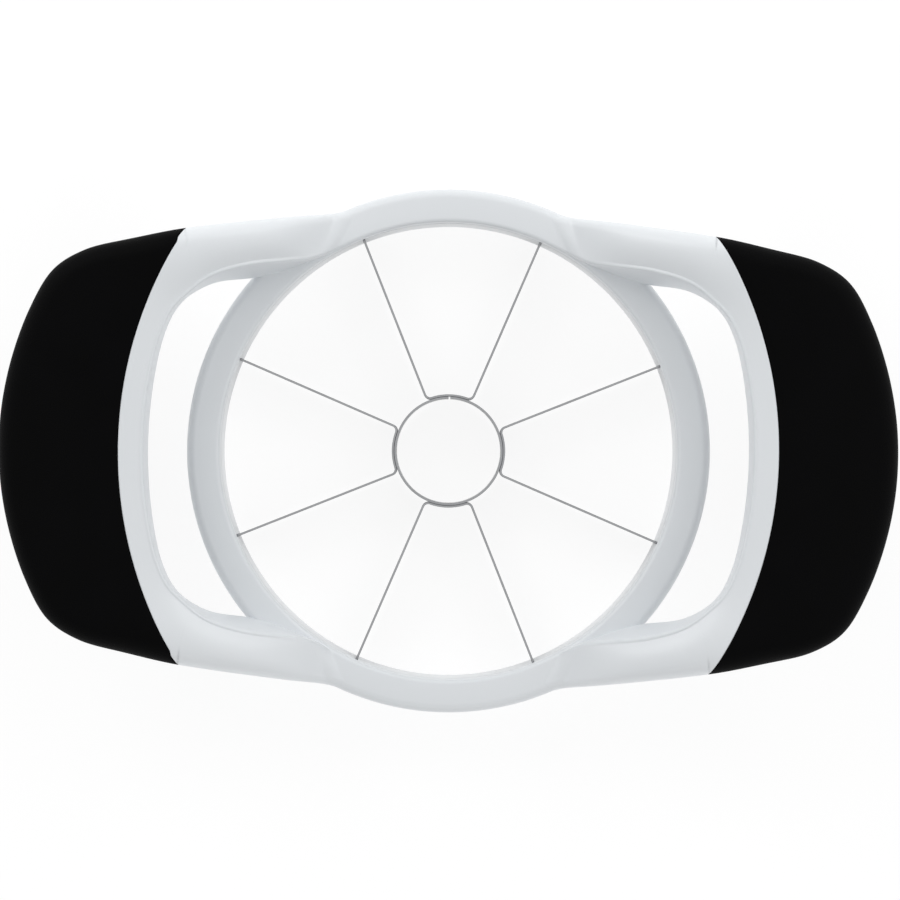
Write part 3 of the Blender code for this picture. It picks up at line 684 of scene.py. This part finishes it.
def grip_loop(turn):
    """Soft grip: the section outside the parting cylinder, from the corner where the parting meets
    the outer edge round to the other corner. The parting's edges are rounded."""
    lip = SHUT_OFF_REACH * (turn < 0)
    last = corner_station(0, lip)
    share = np.linspace(0, 1, GRIP_STATIONS)
    crowded = share - GRIP_CROWDING * np.sin(2 * np.pi * share)
    position = last + (LAST_SPAN - 2 * last) * crowded
    inner, across, width, _, _, upper, base_arc, foot = section_paths(position)
    lower = np.concatenate((base_arc, between(base_arc[:, -1], foot, BASE_SHARES[1:])), 1)
    limit = np.minimum(parting_distance(inner, across, 0, lip), width)
    room = upper[..., 0].max(1) - limit
    soft = np.clip(room / 2, 0, PARTING_ROUND if turn > 0 else LEFT_GRIP_ROUND)
    limit = np.where(room <= 1e-6, upper[:, -1, 0], limit)
    arc_s = limit[:, None] + soft[:, None] * (1 - np.sin(ROUNDING[:0:-1]))
    arc_index = np.stack([crossing(upper, s, True) for s in arc_s.T], 1)
    arc_top = reading(upper, arc_index)
    arc_top[..., 1] -= soft[:, None] * (1 - np.cos(ROUNDING[:0:-1]))
    cut = crossing(upper, limit + soft, True)[:, None]
    over = reading(upper, cut + (upper.shape[1] - 1 - cut) * GRIP_TOP_SHARES)
    cut = crossing(lower, limit + soft, False)[:, None]
    under = reading(lower, cut * GRIP_UNDER_SHARES)
    arc_index = np.stack([crossing(lower, s, False) for s in arc_s[:, ::-1].T], 1)
    arc_base = reading(lower, arc_index)
    arc_base[..., 1] += soft[:, None] * (1 - np.cos(ROUNDING[1:]))
    side = between(over[:, -1], under[:, 0], WALL_SHARES)
    side[..., 0] += np.clip(room / 10, 0, MOULD_LINE)[:, None] * MOULD_LINE_SHARES
    face = between(arc_base[:, -1], arc_top[:, 0], 1 - WALL_SHARES[::-1])
    loop = np.concatenate((arc_top, over, side, under, arc_base, face), 1)
    return skin(stand_up(inner, across, loop, turn))


# Ring


def full_turn():
    """Even angles all the way round."""
    return np.linspace(0, 2 * np.pi, RING_STEPS, endpoint=False)


def ring_profile():
    """Ring's wall as one loop: channel ceiling and inner lip, rounded top, outer wall, chamfered
    foot and the channel's outer wall."""
    lip = (OPENING_RADIUS, CHANNEL_HEIGHT)
    inner_top = (OPENING_RADIUS, RING_HEIGHT)
    outer_top = (RING_RADIUS, RING_HEIGHT)
    outer_foot = (RING_RADIUS, 0)
    ceiling = (CHANNEL_RADIUS, CHANNEL_HEIGHT)
    chamfer = (RING_RADIUS, RING_FOOT_CHAMFER)
    foot = (RING_RADIUS - RING_FOOT_CHAMFER, 0)
    channel_foot = (CHANNEL_RADIUS, 0)
    return np.concatenate(
        (
            round_corner(ceiling, lip, inner_top, LIP_ROUND, steps=3),
            round_corner(lip, inner_top, outer_top, RING_INNER_ROUND, steps=6),
            round_corner(inner_top, outer_top, outer_foot, RING_OUTER_ROUND, steps=8),
            round_corner(outer_top, chamfer, foot, LIP_ROUND, steps=3),
            round_corner(chamfer, foot, channel_foot, LIP_ROUND, steps=3),
            round_corner(foot, channel_foot, ceiling, LIP_ROUND, steps=3),
            [ceiling],
        )
    )


def spoke_angles():
    """Angles of the eight spoke ends: each spoke runs beside its ray, offset away from its strip."""
    turn = np.arange(4)[:, None] * np.pi / 2
    lean = np.arcsin(SPOKE_OFFSET / RETAINER_INNER)
    return np.sort((turn + np.array((1, -1)) * (SPOKE_ANGLE + lean)).ravel() % (2 * np.pi))


def retaining_ring_skin():
    """Retaining ring: a rounded wall turned about the axis. Across each slot the inner wall steps
    back, from just under the strip's tab up to the top, so a slot's side is two sections at one
    angle. Where sections share an angle, their order goes round: plain then slotted at a slot's
    first side, slotted then plain at its last."""
    corners = np.array(
        (
            (RETAINER_INNER, 0),
            (RETAINER_INNER, TAB_BOTTOM - SLOT_CLEARANCE),
            (RETAINER_INNER, TAB_BOTTOM - SLOT_CLEARANCE),
            (RETAINER_INNER, RETAINER_HEIGHT),
            (RETAINER_OUTER, RETAINER_HEIGHT),
            (RETAINER_OUTER, 0),
        )
    )
    plain = np.concatenate(
        (
            round_corner(corners[5], corners[0], corners[3], RETAINER_ROUND, steps=4),
            corners[1:3],
            round_corner(corners[0], corners[3], corners[4], RETAINER_ROUND, steps=4),
            round_corner(corners[3], corners[4], corners[5], LIP_ROUND, steps=2),
            round_corner(corners[4], corners[5], corners[0], LIP_ROUND, steps=2),
        )
    )
    slotted = plain.copy()
    slotted[6:12, 0] = SLOT_BACK_RADIUS
    spokes = spoke_angles()
    half = SLOT_HALF_WIDTH / RETAINER_INNER
    side = np.repeat((-1.0, 1.0), len(spokes))
    edges = np.tile(spokes, 2) + side * half
    around = full_turn()
    away = (spokes - around[:, None] + np.pi) % (2 * np.pi) - np.pi
    angles = np.concatenate((around, edges, edges))
    slot = np.concatenate(
        ((np.abs(away) < half).any(1), np.zeros(len(edges), bool), np.ones(len(edges), bool))
    )
    place = np.concatenate((0 * around, side, -side))
    order = np.lexsort((place, angles))
    profile = np.where(slot[order][:, None, None], slotted, plain)
    return skin(turned(profile, angles[order]), closed_rows=True)


# Steel


def strip_path():
    """Plan path of a bent strip, and which of its points are on a tab: hook, spoke, bend, arc round
    the core ring, then the mirror image. Straight runs are even, arcs are c + r (cos a, sin a)."""
    ray = np.array((np.cos(SPOKE_ANGLE), np.sin(SPOKE_ANGLE)))
    away = np.array((-ray[1], ray[0]))
    bend_reach = STRIP_ARC_RADIUS + SPOKE_BEND
    bend_angle = SPOKE_ANGLE - np.arcsin((SPOKE_BEND - SPOKE_OFFSET) / bend_reach)
    bend_centre = np.array((np.cos(bend_angle), np.sin(bend_angle))) * bend_reach
    hook_centre = ray * (HOOK_REACH - HOOK_BEND) + away * (SPOKE_OFFSET - HOOK_BEND)
    hook_end = hook_centre + ray * HOOK_BEND - away * HOOK_LENGTH
    notch = np.sqrt(NOTCH_RADIUS**2 - SPOKE_OFFSET**2)

    def arc(centre, radius, start, end, steps):
        angle = np.linspace(start, end, steps + 1)
        return centre + radius * np.stack((np.cos(angle), np.sin(angle)), -1)

    hook = arc(hook_centre, HOOK_BEND, SPOKE_ANGLE, SPOKE_ANGLE + np.pi / 2, steps=8)
    bend = arc(bend_centre, SPOKE_BEND, SPOKE_ANGLE + np.pi / 2, bend_angle + np.pi, steps=14)
    wrap = arc(np.zeros(2), STRIP_ARC_RADIUS, bend_angle, 0, steps=18)
    along = np.concatenate(((notch, notch), np.linspace(notch, bend[0] @ ray, 14)[1:-1]))
    spoke = along[:, None] * ray + SPOKE_OFFSET * away
    half = np.concatenate(([hook_end], hook, spoke, bend, wrap[1:]))
    tab = np.arange(len(half)) <= len(hook) + 1
    path = np.concatenate((half, half[-2::-1] * (1, -1)))
    return path, np.concatenate((tab, tab[-2::-1]))


def strip_skin(turn):
    """Strip: the sheet's section (sheared top edges, a lower edge ground from both sides) carried
    along the path, its tabs notched below, and turned about the axis. Where the notch doubles a
    point of the path, the heading comes from the run on its other side."""
    path, tab = strip_path()
    ahead = np.roll(path, -1, 0) - path
    ahead[-1] = ahead[-2]
    behind = path - np.roll(path, 1, 0)
    behind[0] = behind[1]
    still = np.linalg.norm(ahead, axis=1) < 1e-9
    ahead[still] = behind[still]
    still = np.linalg.norm(behind, axis=1) < 1e-9
    behind[still] = ahead[still]
    heading = unit(unit(ahead) + unit(behind))
    normal = np.stack((heading[:, 1], -heading[:, 0]), -1)
    half, thin, e = STOCK / 2, STOCK * EDGE_SHARE / 2, SHEARED_ROUND
    section = np.array(
        (
            (-thin, CUTTING_EDGE),
            (-half, GRIND_TOP),
            (-half, STRIP_TOP - e),
            (-half + e, STRIP_TOP),
            (half - e, STRIP_TOP),
            (half, STRIP_TOP - e),
            (half, GRIND_TOP),
            (thin, CUTTING_EDGE),
        )
    )
    notched = section.copy()
    notched[[0, 1]] = (-half, TAB_BOTTOM)
    notched[[6, 7]] = (half, TAB_BOTTOM)
    rows = np.where(tab[:, None, None], notched, section)
    plan = path[:, None] + normal[:, None] * rows[..., :1]
    cos, sin = np.cos(turn), np.sin(turn)
    x = plan[..., 0] * cos - plan[..., 1] * sin
    y = plan[..., 0] * sin + plan[..., 1] * cos
    return skin(np.stack((x, y, rows[..., 1]), -1), caps=True)


def core_ring_skin():
    """Core ring: the band's section turned from one side of its open seam round to the other."""
    middle = CORE_RADIUS - STOCK / 2
    inner, thin, e = CORE_RADIUS - STOCK, STOCK * EDGE_SHARE / 2, SHEARED_ROUND
    section = np.array(
        (
            (middle - thin, CUTTING_EDGE),
            (inner, GRIND_TOP),
            (inner, CORE_TOP - e),
            (inner + e, CORE_TOP),
            (CORE_RADIUS - e, CORE_TOP),
            (CORE_RADIUS, CORE_TOP - e),
            (CORE_RADIUS, GRIND_TOP),
            (middle + thin, CUTTING_EDGE),
        )
    )
    half = SEAM / 2 / middle
    angles = np.pi / 2 + np.linspace(half, 2 * np.pi - half, CORE_STEPS)
    return skin(turned(section, angles), caps=True)


# Pieces

frame_white = moulded_abs("moulded ABS, cool white", "#E7EAED", "#E2E6E9", 0.36)
natural_white = moulded_abs("moulded ABS, natural white", "#E8EAEC", "#E2E5E7", 0.34)
grip_black = overmoulded_tpe("overmoulded TPE, black")
steel = stainless_strip("rolled stainless strip, ground edge")

ring_wall = skin(turned(ring_profile(), full_turn()), closed_rows=True)
loops = [white_loop(1), white_loop(-1)]
piece("ring_and_loops", [ring_wall, *loops], frame_white, "frame")
piece("soft_grip_right", [grip_loop(1)], grip_black, "right_grip")
piece("soft_grip_left", [grip_loop(-1)], grip_black, "left_grip")
retainer = [retaining_ring_skin()]
piece("slotted_retainer", retainer, natural_white, "retaining_ring")
piece("rolled_core_ring", [core_ring_skin()], steel, "core_ring")
for index, side in enumerate(("right", "back", "left", "front")):
    strip = [strip_skin(index * np.pi / 2)]
    piece("bent_strip_" + side, strip, steel, "blade_strip_" + side)


# Floor, light and camera

FLOOR_REACH = 3.0
FLOOR_DROP = 0.0002
SHADOW_REACH = 0.15
WHITE_REACH = 0.90
LAMP_HEIGHT = np.radians(30)
LAMP_DISTANCE = 1.0
LAMP_SIZE = 0.6


def seen_rays(tree):
    """1 for camera, glossy and transmission rays, so that metal shows the background too."""
    path = add(tree, "ShaderNodeLightPath").outputs
    first = {0: path["Is Camera Ray"], 1: path["Is Glossy Ray"]}
    either = add(tree, "ShaderNodeMath", first, operation="MAXIMUM").outputs[0]
    both = {0: either, 1: path["Is Transmission Ray"]}
    return add(tree, "ShaderNodeMath", both, operation="MAXIMUM").outputs[0]


def plain_floor():
    """Plain white floor of a light tent, lit from below as well. Camera, glossy and transmitted rays
    see a darker matt face with a stronger glow, which together are white where the light reaches,
    so that it still takes a soft shadow. The glow grows with the distance from the object, so that
    no horizon shows."""
    mesh = bpy.data.meshes.new("floor")
    corner = np.array(((-1, -1, 0), (1, -1, 0), (1, 1, 0), (-1, 1, 0))) * FLOOR_REACH
    mesh.from_pydata((corner - (0, 0, FLOOR_DROP)).tolist(), [], [(0, 1, 2, 3)])
    floor = bpy.data.objects.new("floor", mesh)
    bpy.context.scene.collection.objects.link(floor)
    material = bpy.data.materials.new("plain white floor")
    material.use_nodes = True
    tree = material.node_tree
    tree.nodes.clear()
    matt = add(tree, "ShaderNodeBsdfDiffuse", Color=colour("#E8E8E8"))
    lit = add(tree, "ShaderNodeEmission", Strength=0.42)
    table = add(tree, "ShaderNodeAddShader", {0: matt.outputs[0], 1: lit.outputs[0]})
    shadow = add(tree, "ShaderNodeBsdfDiffuse", Color=colour("#727272"))
    place = add(tree, "ShaderNodeTexCoord").outputs["Object"]
    away = add(tree, "ShaderNodeVectorMath", {0: place}, operation="LENGTH").outputs["Value"]
    strength = add(
        tree,
        "ShaderNodeMapRange",
        {"Value": away},
        From_Min=SHADOW_REACH,
        From_Max=WHITE_REACH,
        To_Min=0.87,
        To_Max=1.00,
    )
    glow = add(tree, "ShaderNodeEmission", {"Strength": strength.outputs[0]})
    shown = add(tree, "ShaderNodeAddShader", {0: shadow.outputs[0], 1: glow.outputs[0]})
    mix = add(
        tree,
        "ShaderNodeMixShader",
        {0: seen_rays(tree), 1: table.outputs[0], 2: shown.outputs[0]},
    )
    add(tree, "ShaderNodeOutputMaterial", {"Surface": mix.outputs[0]})
    mesh.materials.append(material)


def soft_light(name, azimuth, power):
    """A square area lamp aimed at the object, placed by its angle round it in degrees."""
    lamp = bpy.data.lights.new(name, "AREA")
    lamp.shape = "SQUARE"
    lamp.size = LAMP_SIZE
    lamp.energy = power
    thing = bpy.data.objects.new(name, lamp)
    bpy.context.scene.collection.objects.link(thing)
    round_it = np.radians(azimuth)
    flat = np.cos(LAMP_HEIGHT)
    way = Vector((flat * np.cos(round_it), flat * np.sin(round_it), np.sin(LAMP_HEIGHT)))
    thing.location = way * LAMP_DISTANCE
    thing.rotation_euler = way.to_track_quat("Z", "Y").to_euler()


def studio():
    """A white room, at full strength for the rays that see it and dimmer as a light, and large soft
    lamps round the object."""
    world = bpy.data.worlds.new("studio")
    bpy.context.scene.world = world
    world.use_nodes = True
    tree = world.node_tree
    tree.nodes.clear()
    seen = seen_rays(tree)
    room = add(tree, "ShaderNodeBackground", Color=colour("#FFFFFF"), Strength=0.47)
    shown = add(tree, "ShaderNodeBackground", Color=colour("#FFFFFF"), Strength=1.0)
    mix = add(
        tree,
        "ShaderNodeMixShader",
        {0: seen, 1: room.outputs[0], 2: shown.outputs[0]},
    )
    add(tree, "ShaderNodeOutputWorld", {"Surface": mix.outputs[0]})
    for name, azimuth, power in (
        ("right lamp", 0, 0.9),
        ("back right lamp", 45, 2.4),
        ("back lamp", 90, 0.6),
        ("back left lamp", 135, 3.2),
        ("front lamp", 270, 1.3),
    ):
        soft_light(name, azimuth, power)


def camera():
    """Camera straight above, 0.70 m over the table, turned by one degree as in the photograph."""
    lens = bpy.data.cameras.new("camera")
    lens.sensor_width = 36.0
    lens.lens = 119.8
    eye = bpy.data.objects.new("camera", lens)
    bpy.context.scene.collection.objects.link(eye)
    eye.location = (0.00034, 0.00023, 0.70)
    eye.rotation_euler = (0, 0, np.radians(1.0))
    bpy.context.scene.camera = eye


plain_floor()
studio()
camera()
bpy.context.scene.view_settings.view_transform = "Standard"
